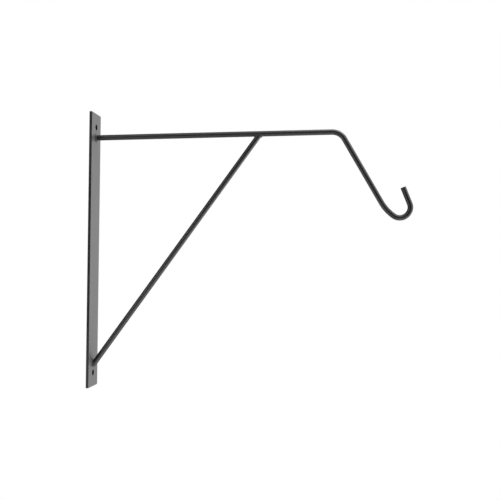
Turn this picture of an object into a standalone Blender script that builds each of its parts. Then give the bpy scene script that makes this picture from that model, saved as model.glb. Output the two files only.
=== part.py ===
"""Welded wall hook: a flat back plate, a round bar bent into an arm with an open hook, and a brace.

Metres, +Z up. The origin is the middle of the plate's rear face, +X points out of the wall along the arm,
and Y runs across the plate. Three weld beads join the bars to the plate and to each other.
"""

import math

import bmesh
import bpy
from mathutils import Vector

MM = 0.001

# Back plate, a length of flat bar
PLATE_HEIGHT = 300 * MM
PLATE_WIDTH = 30 * MM
PLATE_THICKNESS = 3 * MM
PLATE_EDGE_ROUND = 0.4 * MM
PLATE_EDGE_SEGMENTS = 2
SCREW_HOLE_DIAMETER = 6 * MM
SCREW_HOLE_FROM_END = 15 * MM

# Arm, one round bar: level run, bend, slope, hook and straight tip, all measured on its centreline
ARM_DIAMETER = 6 * MM
ARM_BELOW_PLATE_TOP = 26.6 * MM
ARM_LENGTH_TO_BEND_CORNER = 267.8 * MM
ARM_RISE = math.radians(0.8)
BEND_RADIUS = 15 * MM
SLOPE_FALL = math.radians(60)
SLOPE_LENGTH_FROM_BEND_CORNER = 87 * MM
HOOK_LEAD_RADIUS = 45 * MM
HOOK_LEAD_TURN = math.radians(24.4)
HOOK_RADIUS = 11 * MM
TIP_LEAN_BACK = math.radians(21.8)
TIP_LENGTH = 18.4 * MM

# Brace, a straight round bar from the plate up to the arm's underside. The sharp toe of its mitred foot
# is cut off level, which leaves room for the head of the lower screw
BRACE_DIAMETER = 6 * MM
BRACE_FOOT_ABOVE_PLATE_END = 23.4 * MM
BRACE_RISE = math.radians(54.2)
BRACE_TOE_BELOW_AXIS = 1.7 * MM

# Weld beads: the legs of the two at the plate, and the thickness of the lump round the brace's top end
ARM_ROOT_BEAD_LEG = 2 * MM
BRACE_FOOT_BEAD_LEG = 1.9 * MM
BRACE_FOOT_BEAD_ABOVE_TOE = 0.6 * MM
BEAD_END_SHARE = 0.25
BRACE_TOP_BEAD_THICKNESS = 1.3 * MM

# Clearance left between neighbouring solids, and the overrun of every cutter
SEAT_GAP = 0.3 * MM
CUT_OVERRUN = 10 * MM

# Facets
ARC_STEP = math.radians(6)
BAR_BEVEL_RESOLUTION = 8
BEAD_PROFILE_STEPS = 6
BEAD_POINTS = 48
BEAD_BALL_STEPS = 4
HOLE_SIDES = 48
WELD_SHARE = 0.001
SMOOTH_ANGLE = math.radians(35)

BLACK_COAT = {"color": (0.012, 0.012, 0.0125, 1), "roughness": 0.35, "metallic": 0.0}
WELD_COAT = {"color": (0.015, 0.015, 0.015, 1), "roughness": 0.42, "metallic": 0.0}

ACROSS = Vector((0, 1, 0))


def clear_scene():
    for obj in list(bpy.data.objects):
        bpy.data.objects.remove(obj, do_unlink=True)


def heading(angle):
    """Unit direction in the plane of the bars, at this angle above level."""
    return Vector((math.cos(angle), 0, math.sin(angle)))


def make_material(name, coat):
    material = bpy.data.materials.new(name)
    material.use_nodes = True
    shader = material.node_tree.nodes["Principled BSDF"]
    shader.inputs["Base Color"].default_value = coat["color"]
    shader.inputs["Roughness"].default_value = coat["roughness"]
    shader.inputs["Metallic"].default_value = coat["metallic"]
    return material


def add_object(name, mesh, material=None):
    obj = bpy.data.objects.new(name, mesh)
    bpy.context.scene.collection.objects.link(obj)
    if material:
        mesh.materials.append(material)
        mesh.shade_smooth()
        mesh.set_sharp_from_angle(angle=SMOOTH_ANGLE)
    return obj


def mark_cutter(obj):
    obj.hide_render = True
    obj.display_type = "WIRE"
    return obj


def bar_mesh(name, points, radius):
    """Round bar along the points: a bevelled curve with filled ends, as a mesh."""
    curve = bpy.data.curves.new(name, "CURVE")
    curve.dimensions = "3D"
    curve.bevel_depth = radius
    curve.bevel_resolution = BAR_BEVEL_RESOLUTION
    curve.use_fill_caps = True
    spline = curve.splines.new("POLY")
    spline.points.add(len(points) - 1)
    for point, place in zip(spline.points, points):
        point.co = (*place, 1)
    guide = add_object(name + "_guide", curve)
    mesh = bpy.data.meshes.new_from_object(guide.evaluated_get(bpy.context.evaluated_depsgraph_get()))
    bpy.data.objects.remove(guide, do_unlink=True)
    weld_caps(mesh, radius)
    mesh.name = name
    return mesh


def weld_caps(mesh, radius):
    """Joins the rim of each filled end to the bar's side."""
    shape = bmesh.new()
    shape.from_mesh(mesh)
    bmesh.ops.remove_doubles(shape, verts=shape.verts, dist=radius * WELD_SHARE)
    bmesh.ops.recalc_face_normals(shape, faces=shape.faces)
    shape.to_mesh(mesh)
    shape.free()


def box_mesh(name, low, high):
    """Box from its lowest corner to its highest one."""
    shape = bmesh.new()
    bmesh.ops.create_cube(shape, size=1)
    for vertex in shape.verts:
        for axis in range(3):
            vertex.co[axis] = high[axis] if vertex.co[axis] > 0 else low[axis]
    mesh = bpy.data.meshes.new(name)
    shape.to_mesh(mesh)
    shape.free()
    return mesh


def cut(obj, cutters):
    for cutter in cutters:
        modifier = obj.modifiers.new("cut_" + cutter.name, "BOOLEAN")
        modifier.operation = "DIFFERENCE"
        modifier.object = cutter


class Route:
    """Centreline of a bent bar, drawn as straight runs and arcs from a start point and a heading."""

    def __init__(self, start, angle):
        self.place = Vector(start)
        self.angle = angle
        self.points = [self.place.copy()]

    def run(self, length):
        self.place = self.place + heading(self.angle) * length
        self.points.append(self.place.copy())

    def turn(self, angle, radius):
        """Arc of this radius. A positive angle turns upwards."""
        side = math.copysign(1, angle)
        centre = self.place + heading(self.angle + side * math.pi / 2) * radius
        steps = math.ceil(abs(angle) / ARC_STEP)
        for step in range(1, steps + 1):
            now = self.angle + angle * step / steps
            self.points.append(centre - heading(now + side * math.pi / 2) * radius)
        self.angle += angle
        self.place = self.points[-1].copy()


# Places that several pieces share
PLATE_TOP = PLATE_HEIGHT / 2
PLATE_FRONT = PLATE_THICKNESS
ARM_ROOT = Vector((PLATE_FRONT, 0, PLATE_TOP - ARM_BELOW_PLATE_TOP))
BRACE_FOOT = Vector((PLATE_FRONT, 0, BRACE_FOOT_ABOVE_PLATE_END - PLATE_TOP))
ARM_RADIUS = ARM_DIAMETER / 2
BRACE_RADIUS = BRACE_DIAMETER / 2
ARM_DIRECTION = heading(ARM_RISE)
BRACE_DIRECTION = heading(BRACE_RISE)


def brace_length():
    """Length of the brace's axis from the plate's face to the arm's axis, by the sine rule."""
    across_arm = heading(ARM_RISE + math.pi / 2)
    return (ARM_ROOT - BRACE_FOOT).dot(across_arm) / BRACE_DIRECTION.dot(across_arm)


BRACE_LENGTH = brace_length()
BRACE_TOP = BRACE_FOOT + BRACE_DIRECTION * BRACE_LENGTH


def arm_points():
    """From the plate's face out to the end of the hook's tip."""
    bend_turn = ARM_RISE + SLOPE_FALL
    bend_setback = BEND_RADIUS * math.tan(bend_turn / 2)
    route = Route(ARM_ROOT + ARM_DIRECTION * SEAT_GAP, ARM_RISE)
    route.run(ARM_LENGTH_TO_BEND_CORNER - SEAT_GAP - bend_setback)
    route.turn(-bend_turn, BEND_RADIUS)
    route.run(SLOPE_LENGTH_FROM_BEND_CORNER - bend_setback)
    route.turn(HOOK_LEAD_TURN, HOOK_LEAD_RADIUS)
    route.turn(SLOPE_FALL - HOOK_LEAD_TURN + math.pi / 2 + TIP_LEAN_BACK, HOOK_RADIUS)
    route.run(TIP_LENGTH)
    return route.points


def plate_cutter():
    """Everything behind the plate's front face, with the seat gap in front of it."""
    depth = ARM_DIAMETER + BRACE_DIAMETER + CUT_OVERRUN
    low = (-depth, -PLATE_WIDTH, -PLATE_HEIGHT)
    high = (PLATE_FRONT + SEAT_GAP, PLATE_WIDTH, PLATE_HEIGHT)
    return mark_cutter(add_object("plate_clearance", box_mesh("plate_clearance", low, high)))


def toe_cutter():
    """Everything below the level at which the brace's toe is cut off."""
    depth = ARM_DIAMETER + BRACE_DIAMETER + CUT_OVERRUN
    low = (-depth, -PLATE_WIDTH, -PLATE_HEIGHT)
    high = (depth, PLATE_WIDTH, BRACE_FOOT.z - BRACE_TOE_BELOW_AXIS)
    return mark_cutter(add_object("toe_clearance", box_mesh("toe_clearance", low, high)))


def bar_cutter(name, start, direction, length, radius):
    """A bar's own shape, larger by the seat gap and longer at both ends."""
    ends = [start - direction * CUT_OVERRUN, start + direction * (length + CUT_OVERRUN)]
    mesh = bar_mesh(name, ends, radius + SEAT_GAP)
    return mark_cutter(add_object(name, mesh))


def make_back_plate(material):
    """Flat bar with softly rounded edges and a screw hole near each end."""
    low = (0, -PLATE_WIDTH / 2, -PLATE_TOP)
    high = (PLATE_FRONT, PLATE_WIDTH / 2, PLATE_TOP)
    plate = add_object("back_plate", box_mesh("back_plate", low, high), material)
    bevel = plate.modifiers.new("edge_round", "BEVEL")
    bevel.width = PLATE_EDGE_ROUND
    bevel.segments = PLATE_EDGE_SEGMENTS
    for end, name in ((1, "screw_hole_top"), (-1, "screw_hole_bottom")):
        hole = add_object(name, hole_mesh(name))
        hole.location = (PLATE_FRONT / 2, 0, end * (PLATE_TOP - SCREW_HOLE_FROM_END))
        hole.rotation_euler = (0, math.pi / 2, 0)
        cut(plate, [mark_cutter(hole)])
    return plate


def hole_mesh(name):
    """Cylinder that runs through the plate and past both of its faces."""
    shape = bmesh.new()
    radius = SCREW_HOLE_DIAMETER / 2
    bmesh.ops.create_cone(
        shape,
        cap_ends=True,
        segments=HOLE_SIDES,
        radius1=radius,
        radius2=radius,
        depth=PLATE_THICKNESS + 2 * CUT_OVERRUN,
    )
    mesh = bpy.data.meshes.new(name)
    shape.to_mesh(mesh)
    shape.free()
    return mesh


def make_top_arm(material):
    mesh = bar_mesh("top_arm", arm_points(), ARM_RADIUS)
    return add_object("top_arm", mesh, material)


def make_brace(material, clearances):
    """Straight bar, mitred at the plate with a blunt toe, and notched to fit the arm's underside."""
    start = BRACE_FOOT - BRACE_DIRECTION * BRACE_DIAMETER
    mesh = bar_mesh("brace", [start, BRACE_TOP], BRACE_RADIUS)
    brace = add_object("brace", mesh, material)
    cut(brace, clearances)
    return brace


def sections_mesh(name, sections, closed_loop):
    """Skin over cross-sections of equally many points, joined up as a loop or flat at both ends."""
    shape = bmesh.new()
    rows = [[shape.verts.new(place) for place in section] for section in sections]
    pairs = list(zip(rows, rows[1:]))
    if closed_loop:
        pairs.append((rows[-1], rows[0]))
    else:
        shape.faces.new(rows[0])
        shape.faces.new(rows[-1])
    for here, there in pairs:
        for corner in range(len(here)):
            beside = (corner + 1) % len(here)
            shape.faces.new((here[corner], here[beside], there[beside], there[corner]))
    bmesh.ops.recalc_face_normals(shape, faces=shape.faces)
    mesh = bpy.data.meshes.new(name)
    shape.to_mesh(mesh)
    shape.free()
    return mesh


def bead_section(foot, direction, bar_radius, angle, reach):
    """Cross-section of a bead in the corner between the plate and a bar, at this angle round the bar."""
    side = direction.cross(ACROSS)
    outward = side * math.cos(angle) + ACROSS * math.sin(angle)
    rim = foot + outward * (bar_radius + SEAT_GAP)
    along_plate = Vector((0, outward.y, outward.z)).normalized()
    section = [rim + direction * ((PLATE_FRONT + SEAT_GAP - rim.x) / direction.x)]
    for step in range(BEAD_PROFILE_STEPS + 1):
        slant = math.pi / 2 * step / BEAD_PROFILE_STEPS
        height = PLATE_FRONT + SEAT_GAP + reach * math.sin(slant)
        on_bar = rim + direction * ((height - rim.x) / direction.x)
        section.append(on_bar + along_plate * (reach * math.cos(slant)))
    return section


def make_arm_root_bead(material):
    """Bead all round the arm's root."""
    reach = ARM_ROOT_BEAD_LEG - SEAT_GAP
    angles = [2 * math.pi * step / BEAD_POINTS for step in range(BEAD_POINTS)]
    sections = [bead_section(ARM_ROOT, ARM_DIRECTION, ARM_RADIUS, angle, reach) for angle in angles]
    return add_object("arm_root_weld", sections_mesh("arm_root_weld", sections, True), material)


def make_brace_foot_bead(material):
    """Bead over the top and both sides of the brace's foot, tapering out above its toe."""
    foot_half_height = BRACE_RADIUS / math.cos(BRACE_RISE)
    end_below_axis = BRACE_TOE_BELOW_AXIS - BRACE_FOOT_BEAD_ABOVE_TOE
    half_span = math.acos(-end_below_axis / foot_half_height)
    sections = []
    for step in range(BEAD_POINTS + 1):
        way = 2 * step / BEAD_POINTS - 1
        fullness = BEAD_END_SHARE + (1 - BEAD_END_SHARE) * math.sqrt(1 - way**4)
        reach = (BRACE_FOOT_BEAD_LEG - SEAT_GAP) * fullness
        angle = way * half_span
        sections.append(bead_section(BRACE_FOOT, BRACE_DIRECTION, BRACE_RADIUS, angle, reach))
    return add_object("brace_foot_weld", sections_mesh("brace_foot_weld", sections, False), material)


def make_top_bead(material, clearances):
    """Lump of weld metal round the brace's top end, cut back to the gap that it keeps to both bars."""
    shape = bmesh.new()
    radius = BRACE_RADIUS + BRACE_TOP_BEAD_THICKNESS
    bmesh.ops.create_icosphere(shape, subdivisions=BEAD_BALL_STEPS, radius=radius)
    mesh = bpy.data.meshes.new("brace_top_weld")
    shape.to_mesh(mesh)
    shape.free()
    bead = add_object("brace_top_weld", mesh, material)
    bead.location = BRACE_TOP - BRACE_DIRECTION * ARM_RADIUS
    cut(bead, clearances)
    return bead


def main():
    clear_scene()
    plate_coat = make_material("plate_black_coat", BLACK_COAT)
    arm_coat = make_material("arm_black_coat", BLACK_COAT)
    brace_coat = make_material("brace_black_coat", BLACK_COAT)
    bead_coat = make_material("weld_black_coat", WELD_COAT)

    plate_clearance = plate_cutter()
    straight_arm = ARM_LENGTH_TO_BEND_CORNER
    arm_clearance = bar_cutter("arm_clearance", ARM_ROOT, ARM_DIRECTION, straight_arm, ARM_RADIUS)
    brace_clearance = bar_cutter(
        "brace_clearance", BRACE_FOOT, BRACE_DIRECTION, BRACE_LENGTH, BRACE_RADIUS
    )

    make_back_plate(plate_coat)
    make_top_arm(arm_coat)
    make_brace(brace_coat, [plate_clearance, toe_cutter(), arm_clearance])

    make_arm_root_bead(bead_coat)
    make_brace_foot_bead(bead_coat)
    make_top_bead(bead_coat, [arm_clearance, brace_clearance])
    bpy.context.view_layer.update()


main()
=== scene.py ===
# %% [markdown]
# # A welded wall hook in black powder coat
#
# The real thing is a hanger for a flower basket: a flat bar is screwed to the wall, a round bar is welded
# to it at a right angle and bent down into an open hook, and a second round bar props it up from below.
# After welding, the whole bracket is coated with black powder and baked.
#
# A CAD model of the six solids already exists, at true size, in metres. This script dresses it: it loads
# the solids as a fixed frame and builds a finer piece over each one, in the same place.

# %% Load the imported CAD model
import math

import bmesh
import bpy
from mathutils import Matrix, Vector


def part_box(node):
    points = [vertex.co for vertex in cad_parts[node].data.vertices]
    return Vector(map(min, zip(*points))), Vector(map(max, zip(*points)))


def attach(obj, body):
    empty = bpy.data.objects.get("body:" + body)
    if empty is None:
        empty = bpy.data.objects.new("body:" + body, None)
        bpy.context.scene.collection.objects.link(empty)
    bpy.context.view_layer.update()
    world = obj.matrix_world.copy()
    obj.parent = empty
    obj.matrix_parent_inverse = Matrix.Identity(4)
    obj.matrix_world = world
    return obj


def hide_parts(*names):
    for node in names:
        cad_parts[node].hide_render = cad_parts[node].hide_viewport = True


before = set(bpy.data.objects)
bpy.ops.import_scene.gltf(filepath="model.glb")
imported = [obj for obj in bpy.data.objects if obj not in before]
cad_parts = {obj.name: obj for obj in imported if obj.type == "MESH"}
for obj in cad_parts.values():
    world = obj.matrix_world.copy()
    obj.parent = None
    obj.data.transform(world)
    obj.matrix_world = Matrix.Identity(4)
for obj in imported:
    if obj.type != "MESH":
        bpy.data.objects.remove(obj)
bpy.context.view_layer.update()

MM = 0.001
plate_low, plate_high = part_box("back_plate")

# %% [markdown]
# ## The camera
#
# The photograph was taken from the hook's side, a little towards its free end, with a normal lens from
# less than a metre away. The far end of the plate looks narrower than the near end, and the holes in it
# are thin ovals: such small signs fix the camera's place. It could be placed by eye and nudged, but here
# its place and turn were worked out from the edges of the plate and the lines of the bars.

# %% Camera
PICTURE_SIDE = 500
FOCAL_LENGTH_IN_PIXELS = 732.65
SENSOR_WIDTH_MM = 36
CAMERA_PLACE = Vector((264.231, -782.755, -16.245)) * MM
CAMERA_YAW = 0.113215
CAMERA_PITCH = -0.0214254
CAMERA_ROLL = -0.009493


def camera_axes(yaw, pitch, roll):
    """Right, up and backward directions of a camera that looks along +Y before it turns."""
    forward = Vector((-math.sin(yaw), math.cos(yaw), 0)) * math.cos(pitch) - Vector((0, 0, math.sin(pitch)))
    level_right = Vector((math.cos(yaw), math.sin(yaw), 0))
    level_down = forward.cross(level_right)
    right = level_right * math.cos(roll) + level_down * math.sin(roll)
    down = level_down * math.cos(roll) - level_right * math.sin(roll)
    return right, -down, -forward


camera_data = bpy.data.cameras.new("camera")
camera_data.sensor_width = SENSOR_WIDTH_MM
camera_data.lens = SENSOR_WIDTH_MM * FOCAL_LENGTH_IN_PIXELS / PICTURE_SIDE
camera = bpy.data.objects.new("camera", camera_data)
bpy.context.scene.collection.objects.link(camera)
turn = Matrix(camera_axes(CAMERA_YAW, CAMERA_PITCH, CAMERA_ROLL)).transposed().to_4x4()
camera.matrix_world = Matrix.Translation(CAMERA_PLACE) @ turn
bpy.context.scene.camera = camera
print("lens in mm:", round(camera_data.lens, 2))

# %% [markdown]
# ## A short way to write node trees
#
# Both the finish and the shapes below are made by node trees. Written out socket by socket, a tree hides
# the idea behind it. The class `Wire` stands for the value that leaves a node, and lets Python's own
# signs add the maths nodes, so `1 - mask * 0.3` is one line. The class `Tree` adds any other node with
# one call: its type, its settings and what goes into its sockets.

# %% Wires and trees


class Wire:
    """A value that leaves a node. Maths on wires adds the Math nodes that do it."""

    def __init__(self, tree, socket):
        self.tree = tree
        self.socket = socket

    def out(self, name):
        """Another output of the same node."""
        return Wire(self.tree, self.socket.node.outputs[name])

    def maths(self, operation, *values):
        return self.tree.node("ShaderNodeMath", {"operation": operation}, dict(enumerate(values)))

    def __add__(self, other):
        return self.maths("ADD", self, other)

    def __sub__(self, other):
        return self.maths("SUBTRACT", self, other)

    def __mul__(self, other):
        return self.maths("MULTIPLY", self, other)

    def __truediv__(self, other):
        return self.maths("DIVIDE", self, other)

    def __radd__(self, other):
        return self.maths("ADD", other, self)

    def __rsub__(self, other):
        return self.maths("SUBTRACT", other, self)

    def __rmul__(self, other):
        return self.maths("MULTIPLY", other, self)

    def clamp(self):
        """Held between 0 and 1."""
        return self.tree.node("ShaderNodeClamp", {}, {"Value": self})

    def ease(self, low, high):
        """0 below the low value, 1 above the high one, and a smooth rise between them."""
        sockets = {"Value": self, "From Min": low, "From Max": high}
        return self.tree.node("ShaderNodeMapRange", {"interpolation_type": "SMOOTHSTEP"}, sockets)


class Tree:
    """A node tree in the making, of a material, the world or a modifier."""

    def __init__(self, node_tree):
        self.nodes = node_tree.nodes
        self.links = node_tree.links

    def node(self, kind, settings=None, sockets=None, output=0):
        """Adds a node and returns the wire that leaves it. Sockets go by name or by number."""
        node = self.nodes.new(kind)
        for name, value in (settings or {}).items():
            setattr(node, name, value)
        for name, value in (sockets or {}).items():
            self.join(value, node.inputs[name])
        return Wire(self, node.outputs[output]) if node.outputs else node

    def join(self, value, socket):
        if isinstance(value, Wire):
            self.links.new(value.socket, socket)
        else:
            socket.default_value = value


# %% [markdown]
# ## The finish: black powder coat
#
# Powder coat is a skin of baked plastic, about a tenth of a millimetre thick. It is nearly black, and
# it shines softly: seen straight on it is dark, and seen at a low angle it mirrors the white studio, which
# is why the plate looks grey in the photograph while the bars look black with pale rims. So the colour
# stays dark, and the shine does the rest.
#
# Close up the skin isn't flat. It flows as it bakes and leaves low waves about a millimetre apart,
# called orange peel, with finer grit on them. Its gloss wanders a little from place to place, and along
# sharp rims it is shinier, in patches. Along the plate's rims its colour is also painted blacker in the
# same patches, as painted shade. A flat colour with one roughness would look like a plastic toy, so
# noises at three scales drive the colour, the roughness and the bump.
#
# The plate's coat is a little rougher than the bars' and has a faint sheen, a veil that shows only at a
# low angle. It makes the plate grey from the camera and leaves it black from the front.

# %% Powder coat
COAT_BLACK = (0.0040, 0.0040, 0.0042, 1)
COAT_WORN = (0.016, 0.016, 0.016, 1)
COAT_IOR = 1.65
PEEL_PER_METRE = 820
GRIT_PER_METRE = 3600
CLOUD_PER_METRE = 45
PATCHES_PER_METRE = PEEL_PER_METRE / 4
PEEL_HEIGHT = 0.012 * MM
SHEEN_ROUGHNESS = 0.5

# How much each noise and a rim count in the colour, the roughness and the height
WORN_SHARE = 0.12
CLOUD_WORN_SHARE = 0.5
GRIT_WORN_SHARE = 0.3
# Painted shade: how much blacker the colour is painted along the plate's rims
RIM_PAINTED_SHADE_SHARE = 0.3
CLOUD_GLOSS_SHARE = 0.10
GRIT_GLOSS_SHARE = 0.08
RIM_GLOSS_SHARE = 0.16
PEEL_HEIGHT_SHARE = 0.75
GRIT_HEIGHT_SHARE = 0.25


def noise(tree, place, per_metre, detail):
    return tree.node("ShaderNodeTexNoise", {}, {"Vector": place, "Scale": per_metre, "Detail": detail})


def mixed_colour(tree, share, first, second):
    sockets = {0: share, 6: first, 7: second}
    return tree.node("ShaderNodeMix", {"data_type": "RGBA"}, sockets, output=2)


def powder_coat(name, roughness, peel_height, sheen=0, rim=None):
    """Black powder coat with this much sheen. rim is a function that says how near a point is to a rim."""
    material = bpy.data.materials.new(name)
    material.use_nodes = True
    tree = Tree(material.node_tree)
    shader = material.node_tree.nodes["Principled BSDF"]
    place = tree.node("ShaderNodeTexCoord", output="Object")
    cloud = noise(tree, place, CLOUD_PER_METRE, 3)
    peel = noise(tree, place, PEEL_PER_METRE, 2)
    grit = noise(tree, place, GRIT_PER_METRE, 1)

    pale_tone_share = ((cloud - 0.5) * CLOUD_WORN_SHARE + (grit - 0.5) * GRIT_WORN_SHARE + WORN_SHARE).clamp()
    gloss = roughness + (cloud - 0.5) * CLOUD_GLOSS_SHARE + (grit - 0.5) * GRIT_GLOSS_SHARE
    if rim:
        # Patches of half to full strength
        patches = noise(tree, place, PATCHES_PER_METRE, 2).ease(0.3, 0.7) * 0.5 + 0.5
        rim_shade_and_polish = rim(tree, place) * patches
        # Painted shade darkens the colour along the rims; the next line makes the rims shinier
        pale_tone_share = (pale_tone_share - rim_shade_and_polish * RIM_PAINTED_SHADE_SHARE).clamp()
        gloss = gloss - rim_shade_and_polish * RIM_GLOSS_SHARE
    colour = mixed_colour(tree, pale_tone_share, COAT_BLACK, COAT_WORN)
    height = peel * PEEL_HEIGHT_SHARE + grit * GRIT_HEIGHT_SHARE
    bump = tree.node("ShaderNodeBump", {}, {"Strength": 1, "Distance": peel_height, "Height": height})

    tree.join(colour, shader.inputs["Base Color"])
    tree.join(gloss.clamp(), shader.inputs["Roughness"])
    tree.join(bump, shader.inputs["Normal"])
    shader.inputs["IOR"].default_value = COAT_IOR
    shader.inputs["Sheen Weight"].default_value = sheen
    shader.inputs["Sheen Roughness"].default_value = SHEEN_ROUGHNESS
    return material


# %% Where the plate's rims are, and the three finishes
PLATE_ROUGHNESS = 0.42
PLATE_SHEEN = 0.22
BAR_ROUGHNESS = 0.33
WELD_ROUGHNESS = 0.35
WELD_PEEL_HEIGHT = PEEL_HEIGHT * 1.5
PLATE_HALF_WIDTH = plate_high.y
PLATE_HALF_HEIGHT = plate_high.z
RIM_WIDTH = 0.9 * MM
SCREW_HOLE_RADIUS = 3 * MM
SCREW_HOLE_FROM_END = 15 * MM


def plate_rim(tree, place):
    """1 along the plate's sides and ends, 0 over the rest of its faces."""
    parts = tree.node("ShaderNodeSeparateXYZ", {}, {0: place})
    across = parts.maths("ABSOLUTE", parts.out("Y"))
    along = parts.maths("ABSOLUTE", parts.out("Z"))
    near_side = across.ease(PLATE_HALF_WIDTH - RIM_WIDTH, PLATE_HALF_WIDTH)
    near_end = along.ease(PLATE_HALF_HEIGHT - RIM_WIDTH, PLATE_HALF_HEIGHT)
    return near_side.maths("MAXIMUM", near_side, near_end)


plate_coat = powder_coat("plate_powder_coat", PLATE_ROUGHNESS, PEEL_HEIGHT, PLATE_SHEEN, plate_rim)
bar_coat = powder_coat("bar_powder_coat", BAR_ROUGHNESS, PEEL_HEIGHT)
weld_coat = powder_coat("weld_powder_coat", WELD_ROUGHNESS, WELD_PEEL_HEIGHT)
print("finishes:", plate_coat.name, bar_coat.name, weld_coat.name)

# %% [markdown]
# The photograph shows both screw holes as the blackest spots of the whole plate. Sprayed powder hardly
# gets into so small a hole, so its wall stays dull, while everything round it shines. A second, matt
# shader is mixed in there. Where a point is inside a hole follows from its distance to the hole's axis.
# Both holes are as far from the middle, so one distance serves for the two.

# %% Hole walls
HOLE_WALL_ROUGHNESS = 0.7
HOLE_WALL_IOR = 1.2
HOLE_FADE = 0.4 * MM


def dull_in_holes(material):
    """Mixes a matt shader into the material inside the two screw holes."""
    tree = Tree(material.node_tree)
    parts = tree.node("ShaderNodeSeparateXYZ", {}, {0: tree.node("ShaderNodeTexCoord", output="Object")})
    across = parts.out("Y")
    along = parts.maths("ABSOLUTE", parts.out("Z")) - (PLATE_HALF_HEIGHT - SCREW_HOLE_FROM_END)
    from_axis = parts.maths("SQRT", across * across + along * along)
    inside = 1 - from_axis.ease(SCREW_HOLE_RADIUS, SCREW_HOLE_RADIUS + HOLE_FADE)
    matt = {"Base Color": COAT_BLACK, "Roughness": HOLE_WALL_ROUGHNESS, "IOR": HOLE_WALL_IOR}
    wall = tree.node("ShaderNodeBsdfPrincipled", {}, matt)
    shiny = Wire(tree, tree.nodes["Principled BSDF"].outputs["BSDF"])
    finish = tree.node("ShaderNodeMixShader", {}, {0: inside, 1: shiny, 2: wall})
    tree.join(finish, tree.nodes["Material Output"].inputs["Surface"])


dull_in_holes(plate_coat)
print("holes are dull within", SCREW_HOLE_RADIUS / MM, "mm of their axes")

# %% [markdown]
# ## The back plate
#
# A length of 30 by 3 mm flat bar with a hole near each end. Rolled flat bar has soft long edges, and the
# coat rounds every rim a little more. It could be a box with two holes cut by a Boolean and then bevelled,
# but rims that a Boolean leaves are hard to bevel cleanly. Blender's flat curve does it in one go: it
# fills an outline, leaves inner rings open as holes, gives the sheet its thickness and rounds all rims,
# inner and outer alike.

# %% Back plate
PLATE_THICKNESS = plate_high.x - plate_low.x
PLATE_RIM_ROUND = 0.22 * MM
RIM_STEPS = 4
HOLE_SIDES = 72
WELD_DISTANCE = 0.002 * MM
LARGE_FACE = 20 * MM * MM
FLAT_FACING = 0.9999
SMOOTH_ANGLE = math.radians(32)


def add_ring(curve, corners):
    ring = curve.splines.new("POLY")
    ring.points.add(len(corners) - 1)
    for point, (across, up) in zip(ring.points, corners):
        point.co = (across, up, 0, 1)
    ring.use_cyclic_u = True


def circle_corners(centre_up, radius, sides):
    angles = [2 * math.pi * side / sides for side in range(sides)]
    return [(radius * math.cos(angle), centre_up + radius * math.sin(angle)) for angle in angles]


def closed_mesh(obj, name):
    """The object's finished shape as a plain mesh, its doubled points merged and its faces turned out."""
    graph = bpy.context.evaluated_depsgraph_get()
    mesh = bpy.data.meshes.new_from_object(obj.evaluated_get(graph), depsgraph=graph)
    shape = bmesh.new()
    shape.from_mesh(mesh)
    bmesh.ops.remove_doubles(shape, verts=shape.verts, dist=WELD_DISTANCE)
    bmesh.ops.recalc_face_normals(shape, faces=shape.faces)
    open_edges = sum(not edge.is_manifold for edge in shape.edges)
    shape.to_mesh(mesh)
    shape.free()
    mesh.name = name
    print(name, len(mesh.polygons), "faces,", open_edges, "open edges")
    return mesh


def stand_in_for(mesh, name, node, material=None):
    """Places the mesh as the piece that shows instead of a CAD node."""
    if material:
        mesh.materials.clear()
        mesh.materials.append(material)
    mesh.shade_smooth()
    mesh.set_sharp_from_angle(angle=SMOOTH_ANGLE)
    piece = bpy.data.objects.new(name, mesh)
    bpy.context.scene.collection.objects.link(piece)
    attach(piece, "root")
    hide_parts(node)
    return piece


outline = bpy.data.curves.new("plate_outline", "CURVE")
outline.dimensions = "2D"
outline.fill_mode = "BOTH"
outline.extrude = PLATE_THICKNESS / 2 - PLATE_RIM_ROUND
outline.bevel_depth = PLATE_RIM_ROUND
outline.bevel_resolution = RIM_STEPS
outline.offset = -PLATE_RIM_ROUND
width, height = PLATE_HALF_WIDTH, PLATE_HALF_HEIGHT
add_ring(outline, [(-width, -height), (width, -height), (width, height), (-width, height)])
for end in (-1, 1):
    add_ring(outline, circle_corners(end * (height - SCREW_HOLE_FROM_END), SCREW_HOLE_RADIUS, HOLE_SIDES))
sheet = bpy.data.objects.new("plate_sheet", outline)
bpy.context.scene.collection.objects.link(sheet)
plate_mesh = closed_mesh(sheet, "coated_back_plate")
bpy.data.objects.remove(sheet)

stood_up = Matrix(((0, 0, 1, PLATE_THICKNESS / 2), (1, 0, 0, 0), (0, 1, 0, 0), (0, 0, 0, 1)))
plate_mesh.transform(stood_up)
stand_in_for(plate_mesh, "coated_back_plate", "back_plate", plate_coat)
for face in plate_mesh.polygons:
    if abs(face.normal.x) > FLAT_FACING or face.area > LARGE_FACE:
        face.use_smooth = False

# %% [markdown]
# ## The path of a bent bar
#
# A bent bar is easiest to describe the way it is made: so far straight, then round a former of this
# radius by this angle, then straight again. The class `Route` draws the middle line of the bar in that
# way. The angles and lengths are the CAD model's, but for the hook's radius: finer facets reach a hair
# further out than the solid's, so 0.01 mm less keeps the hook inside the CAD box.

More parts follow.
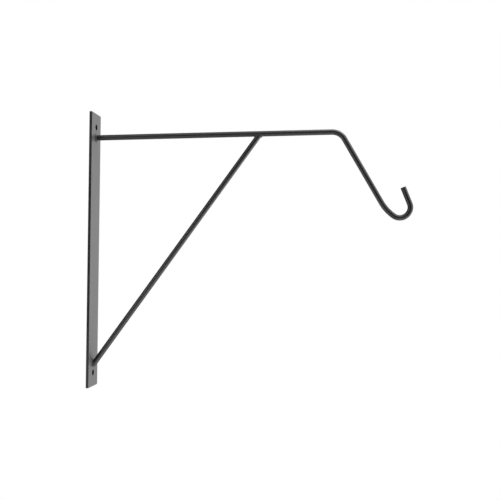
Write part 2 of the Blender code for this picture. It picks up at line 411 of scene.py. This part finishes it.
# %% Route of the arm
BAR_RADIUS = 3 * MM
PLATE_FRONT = plate_high.x
ARM_BELOW_PLATE_TOP = 26.6 * MM
ARM_ROOT = Vector((PLATE_FRONT, 0, PLATE_HALF_HEIGHT - ARM_BELOW_PLATE_TOP))
ARM_RISE = math.radians(0.8)
ARM_LENGTH_TO_BEND_CORNER = 267.8 * MM
BEND_RADIUS = 15 * MM
SLOPE_FALL = math.radians(60)
SLOPE_LENGTH_FROM_BEND_CORNER = 87 * MM
HOOK_LEAD_RADIUS = 45 * MM
HOOK_LEAD_TURN = math.radians(24.4)
HOOK_RADIUS = 10.99 * MM
TIP_LEAN_BACK = math.radians(21.8)
TIP_LENGTH = 18.4 * MM
ARC_STEP = math.radians(2)
ACROSS = Vector((0, 1, 0))


def heading(angle):
    """Unit direction in the upright plane of the bars, at this angle above level."""
    return Vector((math.cos(angle), 0, math.sin(angle)))


class Route:
    """Middle line of a bent bar, drawn as straight runs and arcs."""

    def __init__(self, start, angle):
        self.points = [Vector(start)]
        self.angle = angle

    def run(self, length):
        self.points.append(self.points[-1] + heading(self.angle) * length)

    def turn(self, angle, radius):
        """An arc. A positive angle turns upwards."""
        side = math.copysign(1, angle)
        centre = self.points[-1] + heading(self.angle + side * math.pi / 2) * radius
        steps = math.ceil(abs(angle) / ARC_STEP)
        for step in range(1, steps + 1):
            now = self.angle + angle * step / steps
            self.points.append(centre - heading(now + side * math.pi / 2) * radius)
        self.angle += angle


bend_turn = ARM_RISE + SLOPE_FALL
bend_setback = BEND_RADIUS * math.tan(bend_turn / 2)
arm_route = Route(ARM_ROOT, ARM_RISE)
arm_route.run(ARM_LENGTH_TO_BEND_CORNER - bend_setback)
arm_route.turn(-bend_turn, BEND_RADIUS)
arm_route.run(SLOPE_LENGTH_FROM_BEND_CORNER - bend_setback)
arm_route.turn(HOOK_LEAD_TURN, HOOK_LEAD_RADIUS)
arm_route.turn(SLOPE_FALL - HOOK_LEAD_TURN + math.pi / 2 + TIP_LEAN_BACK, HOOK_RADIUS)
arm_route.run(TIP_LENGTH)
bar_length = sum((b - a).length for a, b in zip(arm_route.points, arm_route.points[1:]))
print("arm: bar length in mm", round(bar_length / MM, 1))

# %% [markdown]
# ## Round bars, swept along their paths
#
# Both bars are the same stock, 6 mm round bar, so one Geometry Nodes tree makes them both: it sweeps a
# circle along the path, closes the ends, and lets the radius follow a value kept on each point of the
# path. That value rounds the sheared end of the hook's tip, as a quick pass of a grinder and the coat do.
# A bevelled curve would give the same tube, but the tree keeps the sizes as named inputs.

# %% Helpers for modifier trees


def new_shape_tree(name, inputs):
    """A Geometry Nodes tree with a geometry input and the named number and material inputs."""
    group = bpy.data.node_groups.new(name, "GeometryNodeTree")
    group.interface.new_socket("Geometry", in_out="INPUT", socket_type="NodeSocketGeometry")
    for label, kind in inputs.items():
        group.interface.new_socket(label, in_out="INPUT", socket_type="NodeSocket" + kind)
    group.interface.new_socket("Geometry", in_out="OUTPUT", socket_type="NodeSocketGeometry")
    tree = Tree(group)
    return group, tree, tree.node("NodeGroupInput")


def finish_shape_tree(tree, given, mesh):
    """Ends a tree: everything made real, and the material set."""
    real = tree.node("GeometryNodeRealizeInstances", {}, {"Geometry": mesh})
    coated = tree.node("GeometryNodeSetMaterial", {}, {"Geometry": real, "Material": given.out("Material")})
    tree.node("NodeGroupOutput", {}, {"Geometry": coated})


def path_object(name, points, radii, closed=False):
    """A path through the points, with a share of the full radius kept on each."""
    curve = bpy.data.curves.new(name, "CURVE")
    curve.dimensions = "3D"
    path = curve.splines.new("POLY")
    path.points.add(len(points) - 1)
    for point, place, radius in zip(path.points, points, radii):
        point.co = (*place, 1)
        point.radius = radius
    path.use_cyclic_u = closed
    obj = bpy.data.objects.new(name, curve)
    bpy.context.scene.collection.objects.link(obj)
    return obj


def run_tree(obj, group, values):
    """Runs the tree on a path and returns the plain mesh it makes. The path object goes."""
    modifier = obj.modifiers.new("shape", "NODES")
    modifier.node_group = group
    for item in group.interface.items_tree:
        if item.in_out == "INPUT" and item.name in values:
            modifier[item.identifier] = values[item.name]
    name = obj.name.replace("_path", "")
    mesh = closed_mesh(obj, name)
    bpy.data.objects.remove(obj)
    return mesh


# %% Tree of a round bar
bar_inputs = {"Radius": "Float", "Sides": "Int", "Material": "Material"}
bar_group, tree, given = new_shape_tree("round_bar", bar_inputs)
ring = tree.node(
    "GeometryNodeCurvePrimitiveCircle",
    {},
    {"Resolution": given.out("Sides"), "Radius": given.out("Radius")},
)
swept = tree.node(
    "GeometryNodeCurveToMesh",
    {},
    {
        "Curve": given.out("Geometry"),
        "Profile Curve": ring,
        "Scale": tree.node("GeometryNodeInputRadius"),
        "Fill Caps": True,
    },
)
finish_shape_tree(tree, given, swept)

# %% Arm
BAR_SIDES = 40
SUNK = 0.2 * MM
TIP_ROUND = 0.45 * MM
TIP_STEPS = 5
bar_values = {"Radius": BAR_RADIUS, "Sides": BAR_SIDES, "Material": bar_coat}


def rounded_end(points, radius, rounding, steps):
    """The path with its last stretch cut into steps, and the radius shares that round its end off."""
    last, before = points[-1], points[-2]
    back = (before - last).normalized()
    angles = [math.pi / 2 * step / steps for step in range(steps + 1)]
    stretch = [last + back * rounding * (1 - math.sin(angle)) for angle in angles]
    shares = [1 - rounding / radius * (1 - math.cos(angle)) for angle in angles]
    return points[:-1] + stretch, [1] * (len(points) - 1) + shares


arm_points = [ARM_ROOT - heading(ARM_RISE) * SUNK] + arm_route.points[1:]
arm_points, arm_shares = rounded_end(arm_points, BAR_RADIUS, TIP_ROUND, TIP_STEPS)
arm_mesh = run_tree(path_object("coated_arm_path", arm_points, arm_shares), bar_group, bar_values)
stand_in_for(arm_mesh, "coated_arm", "top_arm")

# %% [markdown]
# ## The brace
#
# The brace is a straight cut of the same bar. Its foot stands on the plate and its head meets the arm
# from below. The welder grinds both ends to fit; here the bar simply runs a little way into the plate
# and up to the arm's middle, where the arm hides its end.
#
# A foot mitred to a sharp toe would reach down to the lower screw's head. The dark end of the brace stops
# short of that in the photograph, so the toe is cut off level, and the cut's rim is rounded a little.

# %% Brace
BRACE_FOOT_ABOVE_PLATE_END = 23.4 * MM
BRACE_FOOT = Vector((PLATE_FRONT, 0, BRACE_FOOT_ABOVE_PLATE_END - PLATE_HALF_HEIGHT))
BRACE_RISE = math.radians(54.2)
BRACE_TOE_BELOW_AXIS = 1.7 * MM
TOE_ROUND = 0.25 * MM
TOE_ROUND_STEPS = 3
brace_way = heading(BRACE_RISE)
arm_upright = heading(ARM_RISE + math.pi / 2)
brace_length = (ARM_ROOT - BRACE_FOOT).dot(arm_upright) / brace_way.dot(arm_upright)
BRACE_HEAD = BRACE_FOOT + brace_way * brace_length
print("brace: length along its middle in mm", round(brace_length / MM, 1))


def mitred_bar(mesh, plane_x):
    """Moves the bar's lower end along the bar until all of it lies in an upright plane."""
    for vertex in mesh.vertices:
        if vertex.co.x < plane_x + BAR_RADIUS and (vertex.co - BRACE_FOOT).dot(brace_way) < BAR_RADIUS:
            vertex.co += brace_way * ((plane_x - vertex.co.x) / brace_way.x)


def blunt_toe(mesh, level):
    """Cuts off all that lies below this level, closes the cut and rounds its rim."""
    shape = bmesh.new()
    shape.from_mesh(mesh)
    everything = shape.verts[:] + shape.edges[:] + shape.faces[:]
    down = (0, 0, -1)
    cut = bmesh.ops.bisect_plane(
        shape, geom=everything, plane_co=(0, 0, level), plane_no=down, clear_outer=True
    )
    rim = [part for part in cut["geom_cut"] if isinstance(part, bmesh.types.BMEdge)]
    bmesh.ops.edgeloop_fill(shape, edges=rim)
    bmesh.ops.bevel(
        shape, geom=rim, offset=TOE_ROUND, segments=TOE_ROUND_STEPS, profile=0.5, affect="EDGES"
    )
    bmesh.ops.recalc_face_normals(shape, faces=shape.faces)
    open_edges = sum(not edge.is_manifold for edge in shape.edges)
    print("blunt toe:", len(shape.faces), "faces,", open_edges, "open edges")
    shape.to_mesh(mesh)
    shape.free()


brace_points = [BRACE_FOOT, BRACE_HEAD]
brace_mesh = run_tree(path_object("coated_brace_path", brace_points, [1, 1]), bar_group, bar_values)
mitred_bar(brace_mesh, PLATE_FRONT - SUNK)
blunt_toe(brace_mesh, BRACE_FOOT.z - BRACE_TOE_BELOW_AXIS)
stand_in_for(brace_mesh, "coated_brace", "brace")

# %% [markdown]
# ## Weld beads
#
# Three welds hold the bracket together. A bead is a string of small pools that froze one after the
# other, so it is a rounded rope with curved ripples across it, a little uneven, and the coat only softens
# it. A Geometry Nodes tree suits it well, because the bead follows a path: it sweeps a circle along the
# seam, then lifts the surface along its normal by a ripple that repeats with the length along the seam,
# bent forward in the middle of the bead, and by a slow noise for the welder's hand.

# %% Tree of a weld bead
BEAD_SIDES = 24
RIPPLE_BEND = 0.55
WANDER_PER_METRE = 420
bead_inputs = {
    "Bead Radius": "Float",
    "Step": "Float",
    "Ripple Spacing": "Float",
    "Ripple Height": "Float",
    "Unevenness": "Float",
    "Seed": "Float",
    "Material": "Material",
}
bead_group, tree, given = new_shape_tree("weld_bead", bead_inputs)
fine_path = tree.node(
    "GeometryNodeResampleCurve",
    {"mode": "LENGTH"},
    {"Curve": given.out("Geometry"), "Length": given.out("Step")},
)


def captured(tree, geometry, value):
    """Keeps a value on the geometry's points, so that it survives the sweep. Returns both."""
    node = tree.nodes.new("GeometryNodeCaptureAttribute")
    node.capture_items.new("FLOAT", "Value")
    tree.join(geometry, node.inputs[0])
    tree.join(value, node.inputs[1])
    return Wire(tree, node.outputs[0]), Wire(tree, node.outputs[1])


way_along = tree.node("GeometryNodeSplineParameter").out("Length")
fine_path, way_along = captured(tree, fine_path, way_along)
ring = tree.node(
    "GeometryNodeCurvePrimitiveCircle",
    {},
    {"Resolution": BEAD_SIDES, "Radius": given.out("Bead Radius")},
)
way_round = tree.node("GeometryNodeSplineParameter").out("Factor")
ring, way_round = captured(tree, ring, way_round)
rope = tree.node(
    "GeometryNodeCurveToMesh",
    {},
    {
        "Curve": fine_path,
        "Profile Curve": ring,
        "Scale": tree.node("GeometryNodeInputRadius"),
        "Fill Caps": True,
    },
)
bend = way_round.maths("COSINE", way_round * (2 * math.pi)) * RIPPLE_BEND
phase = (way_along / given.out("Ripple Spacing") + bend) * (2 * math.pi)
ripple = phase.maths("SINE", phase) * given.out("Ripple Height")
wander = tree.node(
    "ShaderNodeTexNoise",
    {"noise_dimensions": "4D"},
    {
        "Vector": tree.node("GeometryNodeInputPosition"),
        "W": given.out("Seed"),
        "Scale": WANDER_PER_METRE,
        "Detail": 2,
    },
)
lift = ripple + (wander - 0.5) * given.out("Unevenness")
offset = tree.node(
    "ShaderNodeVectorMath",
    {"operation": "SCALE"},
    {0: tree.node("GeometryNodeInputNormal"), "Scale": lift},
)
rippled = tree.node("GeometryNodeSetPosition", {}, {"Geometry": rope, "Offset": offset})
finish_shape_tree(tree, given, rippled)

# %% Beads at the plate
bead_values = {
    "Bead Radius": 1.15 * MM,
    "Step": 0.12 * MM,
    "Ripple Spacing": 1.1 * MM,
    "Ripple Height": 0.05 * MM,
    "Unevenness": 0.4 * MM,
    "Seed": 3.0,
    "Material": weld_coat,
}
FOOT_BEAD_RADIUS = 1.1 * MM
FOOT_BEAD_END_SHARE = 0.3
FOOT_BEAD_ABOVE_TOE = 0.6 * MM
SEAM_OFFSET = 0.25 * MM
SEAM_POINTS = 72


def foot_seam(foot, way, angles):
    """Points of the corner between the plate and a bar, at these angles round the bar."""
    side = way.cross(ACROSS)
    points = []
    for angle in angles:
        rim = foot + (side * math.cos(angle) + ACROSS * math.sin(angle)) * (BAR_RADIUS + SEAM_OFFSET)
        points.append(rim + way * ((PLATE_FRONT + SEAM_OFFSET / 2 - rim.x) / way.x))
    return points


around = [2 * math.pi * step / SEAM_POINTS for step in range(SEAM_POINTS)]
root_seam = foot_seam(ARM_ROOT, heading(ARM_RISE), around)
root_path = path_object("arm_root_bead_path", root_seam, [1] * SEAM_POINTS, closed=True)
root_bead_mesh = run_tree(root_path, bead_group, bead_values)
stand_in_for(root_bead_mesh, "arm_root_bead", "arm_root_weld")

foot_half_height = BAR_RADIUS / math.cos(BRACE_RISE)
foot_half_span = math.acos((FOOT_BEAD_ABOVE_TOE - BRACE_TOE_BELOW_AXIS) / foot_half_height)
ways = [2 * step / SEAM_POINTS - 1 for step in range(SEAM_POINTS + 1)]
foot_shares = [
    FOOT_BEAD_END_SHARE + (1 - FOOT_BEAD_END_SHARE) * math.sqrt(max(0, 1 - way**4)) for way in ways
]
foot_points = foot_seam(BRACE_FOOT, brace_way, [way * foot_half_span for way in ways])
foot_path = path_object("brace_foot_bead_path", foot_points, foot_shares)
foot_values = dict(bead_values, **{"Bead Radius": FOOT_BEAD_RADIUS, "Seed": 8.0})
foot_bead_mesh = run_tree(foot_path, bead_group, foot_values)
stand_in_for(foot_bead_mesh, "brace_foot_bead", "brace_foot_weld")

# %% Bead under the arm
HEAD_BEAD_RADIUS = 0.85 * MM
HEAD_BEAD_THIN_SHARE = 0.4


def head_seam(angles, brace_radius, arm_radius):
    """Points of the seam round the brace's head, where it meets the arm's underside."""
    side = brace_way.cross(ACROSS)
    points = []
    for angle in angles:
        start = BRACE_HEAD + (side * math.cos(angle) + ACROSS * math.sin(angle)) * brace_radius
        drop = math.sqrt(arm_radius**2 - start.y**2)
        above = (start - BRACE_HEAD).dot(arm_upright)
        points.append(start - brace_way * ((drop + above) / brace_way.dot(arm_upright)))
    return points


head_points = head_seam(around, BAR_RADIUS, BAR_RADIUS + SEAM_OFFSET)
head_shares = [
    HEAD_BEAD_THIN_SHARE + (1 - HEAD_BEAD_THIN_SHARE) / 2 * (1 - math.cos(angle)) for angle in around
]
head_path = path_object("brace_head_bead_path", head_points, head_shares, closed=True)
head_values = dict(bead_values, **{"Bead Radius": HEAD_BEAD_RADIUS, "Seed": 5.0})
head_bead_mesh = run_tree(head_path, bead_group, head_values)
stand_in_for(head_bead_mesh, "brace_head_bead", "brace_top_weld")

# %% [markdown]
# ## The studio
#
# A glossy black bar shows little but its surroundings, so they are built first of all for what it mirrors.
# The photograph tells what they were. The background is pure white, and the rims of the bars mirror it.
# The middle of each bar is nearly black, because it mirrors the dark gap that the camera looks out of.
# The plate's face is evenly grey and the bars' right-hand rims are broad and pale, because large softboxes
# stand on the side of the hook, above and below it.
#
# A tent with a hand-painted pattern of light could copy that, but the part should look right elsewhere
# too. So this is a plain set that could be built: a white room, black cards where the photograph has dark
# reflections, and a few softboxes at an even level. The cards are kept out of the camera's own view.
#
# The room is white for the camera and in reflections, and dimmer where it only lights the hook, so the
# white ground costs the hook no extra light. The floor takes its shadow and fades into that white.

# %% World
ROOM_LEVEL = 0.7


def sees_white(tree):
    """1 for rays from the camera, a shine or glass, 0 for those by which the room lights the hook."""
    rays = tree.node("ShaderNodeLightPath")
    mirrored = rays.maths("MAXIMUM", rays.out("Is Glossy Ray"), rays.out("Is Transmission Ray"))
    return rays.maths("MAXIMUM", mirrored, rays.out("Is Camera Ray"))


world = bpy.data.worlds.new("studio")
world.use_nodes = True
bpy.context.scene.world = world
tree = Tree(world.node_tree)
background = world.node_tree.nodes["Background"]
seen = sees_white(tree)
tree.join(seen + (1 - seen) * ROOM_LEVEL, background.inputs["Strength"])
background.inputs["Color"].default_value = (1, 1, 1, 1)
print("room: lights the hook at", ROOM_LEVEL, "of the white that is seen")

# %% Black cards
MIDDLE = Vector((170, 0, 0)) * MM
PAPER_ROUGHNESS = 0.9
BLACK_PAPER_SHADE = 0.03


def compass(azimuth, elevation):
    """Direction at this azimuth from +X towards +Y, and this elevation above level, in degrees."""
    turn, rise = math.radians(azimuth), math.radians(elevation)
    return Vector((math.cos(rise) * math.cos(turn), math.cos(rise) * math.sin(turn), math.sin(rise)))


def faced(place, back):
    """Matrix that puts a thing at a place with its back to the given direction."""
    return Matrix.Translation(place) @ Vector(back).to_track_quat("Z", "Y").to_matrix().to_4x4()


def paper(name, shade):
    """Matt grey paper without any shine."""
    material = bpy.data.materials.new(name)
    material.use_nodes = True
    shader = material.node_tree.nodes["Principled BSDF"]
    shader.inputs["Base Color"].default_value = (shade, shade, shade, 1)
    shader.inputs["Roughness"].default_value = PAPER_ROUGHNESS
    shader.inputs["Specular IOR Level"].default_value = 0
    return material


black_paper = paper("black_paper", BLACK_PAPER_SHADE)


def card(name, place, back, width, height):
    """A black card of this size in metres, with its back to the given direction."""
    mesh = bpy.data.meshes.new(name)
    x, y = width / 2, height / 2
    mesh.from_pydata([(-x, -y, 0), (x, -y, 0), (x, y, 0), (-x, y, 0)], [], [(0, 1, 2, 3)])
    mesh.materials.append(black_paper)
    obj = bpy.data.objects.new(name, mesh)
    bpy.context.scene.collection.objects.link(obj)
    obj.matrix_world = faced(place, back)
    obj.visible_camera = False


card("card_round_camera", MIDDLE + compass(273, 8) * 1.35, compass(273, 8), 2.2, 1.05)
card("card_on_wall_side", (-0.75, 0, 0.5), (1, 0, 0), 1.3, 1.2)
card("card_left_behind", (-0.66, 0.85, 0.45), compass(25, 0), 1.5, 1.5)
card("card_above_behind", MIDDLE + compass(135, 52) * 1.3, compass(135, 52), 1.3, 0.9)

# %% Floor
FLOOR_DROP = 1.2
FLOOR_RADIUS = 2.4
FLOOR_FADE_START = 1
FLOOR_SHADE = 0.86
FLOOR_SIDES = 96


def fading_paper(name, shade):
    """Paper that takes shadows in the middle and passes into the white of the room at its rim."""
    material = paper(name, shade)
    tree = Tree(material.node_tree)
    parts = tree.node("ShaderNodeSeparateXYZ", {}, {0: tree.node("ShaderNodeTexCoord", output="Object")})
    out, aside = parts.out("X") - MIDDLE.x, parts.out("Y")
    from_middle = parts.maths("SQRT", out * out + aside * aside)
    faded = from_middle.ease(FLOOR_FADE_START, FLOOR_RADIUS) * sees_white(tree)
    lit = Wire(tree, tree.nodes["Principled BSDF"].outputs["BSDF"])
    white = tree.node("ShaderNodeEmission", {}, {"Color": (1, 1, 1, 1), "Strength": 1})
    finish = tree.node("ShaderNodeMixShader", {}, {0: faded, 1: lit, 2: white})
    tree.join(finish, tree.nodes["Material Output"].inputs["Surface"])
    return material


floor_shape = bmesh.new()
bmesh.ops.create_circle(floor_shape, cap_ends=True, segments=FLOOR_SIDES, radius=FLOOR_RADIUS)
floor_mesh = bpy.data.meshes.new("floor")
floor_shape.to_mesh(floor_mesh)
floor_shape.free()
floor_mesh.transform(Matrix.Translation((MIDDLE.x, 0, -FLOOR_DROP)))
floor_mesh.materials.append(fading_paper("floor_paper", FLOOR_SHADE))
floor = bpy.data.objects.new("floor", floor_mesh)
bpy.context.scene.collection.objects.link(floor)

# %% Softboxes


def softbox(name, azimuth, elevation, distance, width, height, level):
    """A lamp that points at the hook. Level 1 is as bright as white paper in the white room."""
    lamp = bpy.data.lights.new(name, "AREA")
    lamp.shape = "RECTANGLE"
    lamp.size = width
    lamp.size_y = height
    lamp.energy = math.pi * width * height * level
    obj = bpy.data.objects.new(name, lamp)
    bpy.context.scene.collection.objects.link(obj)
    obj.matrix_world = faced(MIDDLE + compass(azimuth, elevation) * distance, compass(azimuth, elevation))
    obj.visible_camera = False


# Azimuth and elevation in degrees, distance, width and height in metres, level
softbox("softbox_above_hook", 0, 70, 1.1, 0.8, 0.8, 2.5)
softbox("softbox_behind_high", 70, 50, 1.1, 0.6, 0.5, 1.5)
softbox("softbox_right_high", 355, 38, 1.2, 0.9, 0.8, 1)
softbox("softbox_right_behind", 42, 5, 1.2, 0.7, 0.9, 1.5)
softbox("softbox_right_low", 12, -30, 1.2, 0.9, 0.8, 2.1)
softbox("softbox_right_front", 325, 5, 1.1, 0.4, 0.4, 0.7)
softbox("softbox_under_hook", 325, -64, 0.75, 0.5, 0.5, 1.3)
softbox("softbox_left_front", 225, 18, 1.2, 0.3, 0.5, 3)
softbox("softbox_left_low", 190, -28, 1.2, 0.8, 0.6, 0.6)
print("softboxes:", len(bpy.data.lights))

# %% Colours as they are, and the last line
bpy.context.scene.view_settings.view_transform = "Standard"
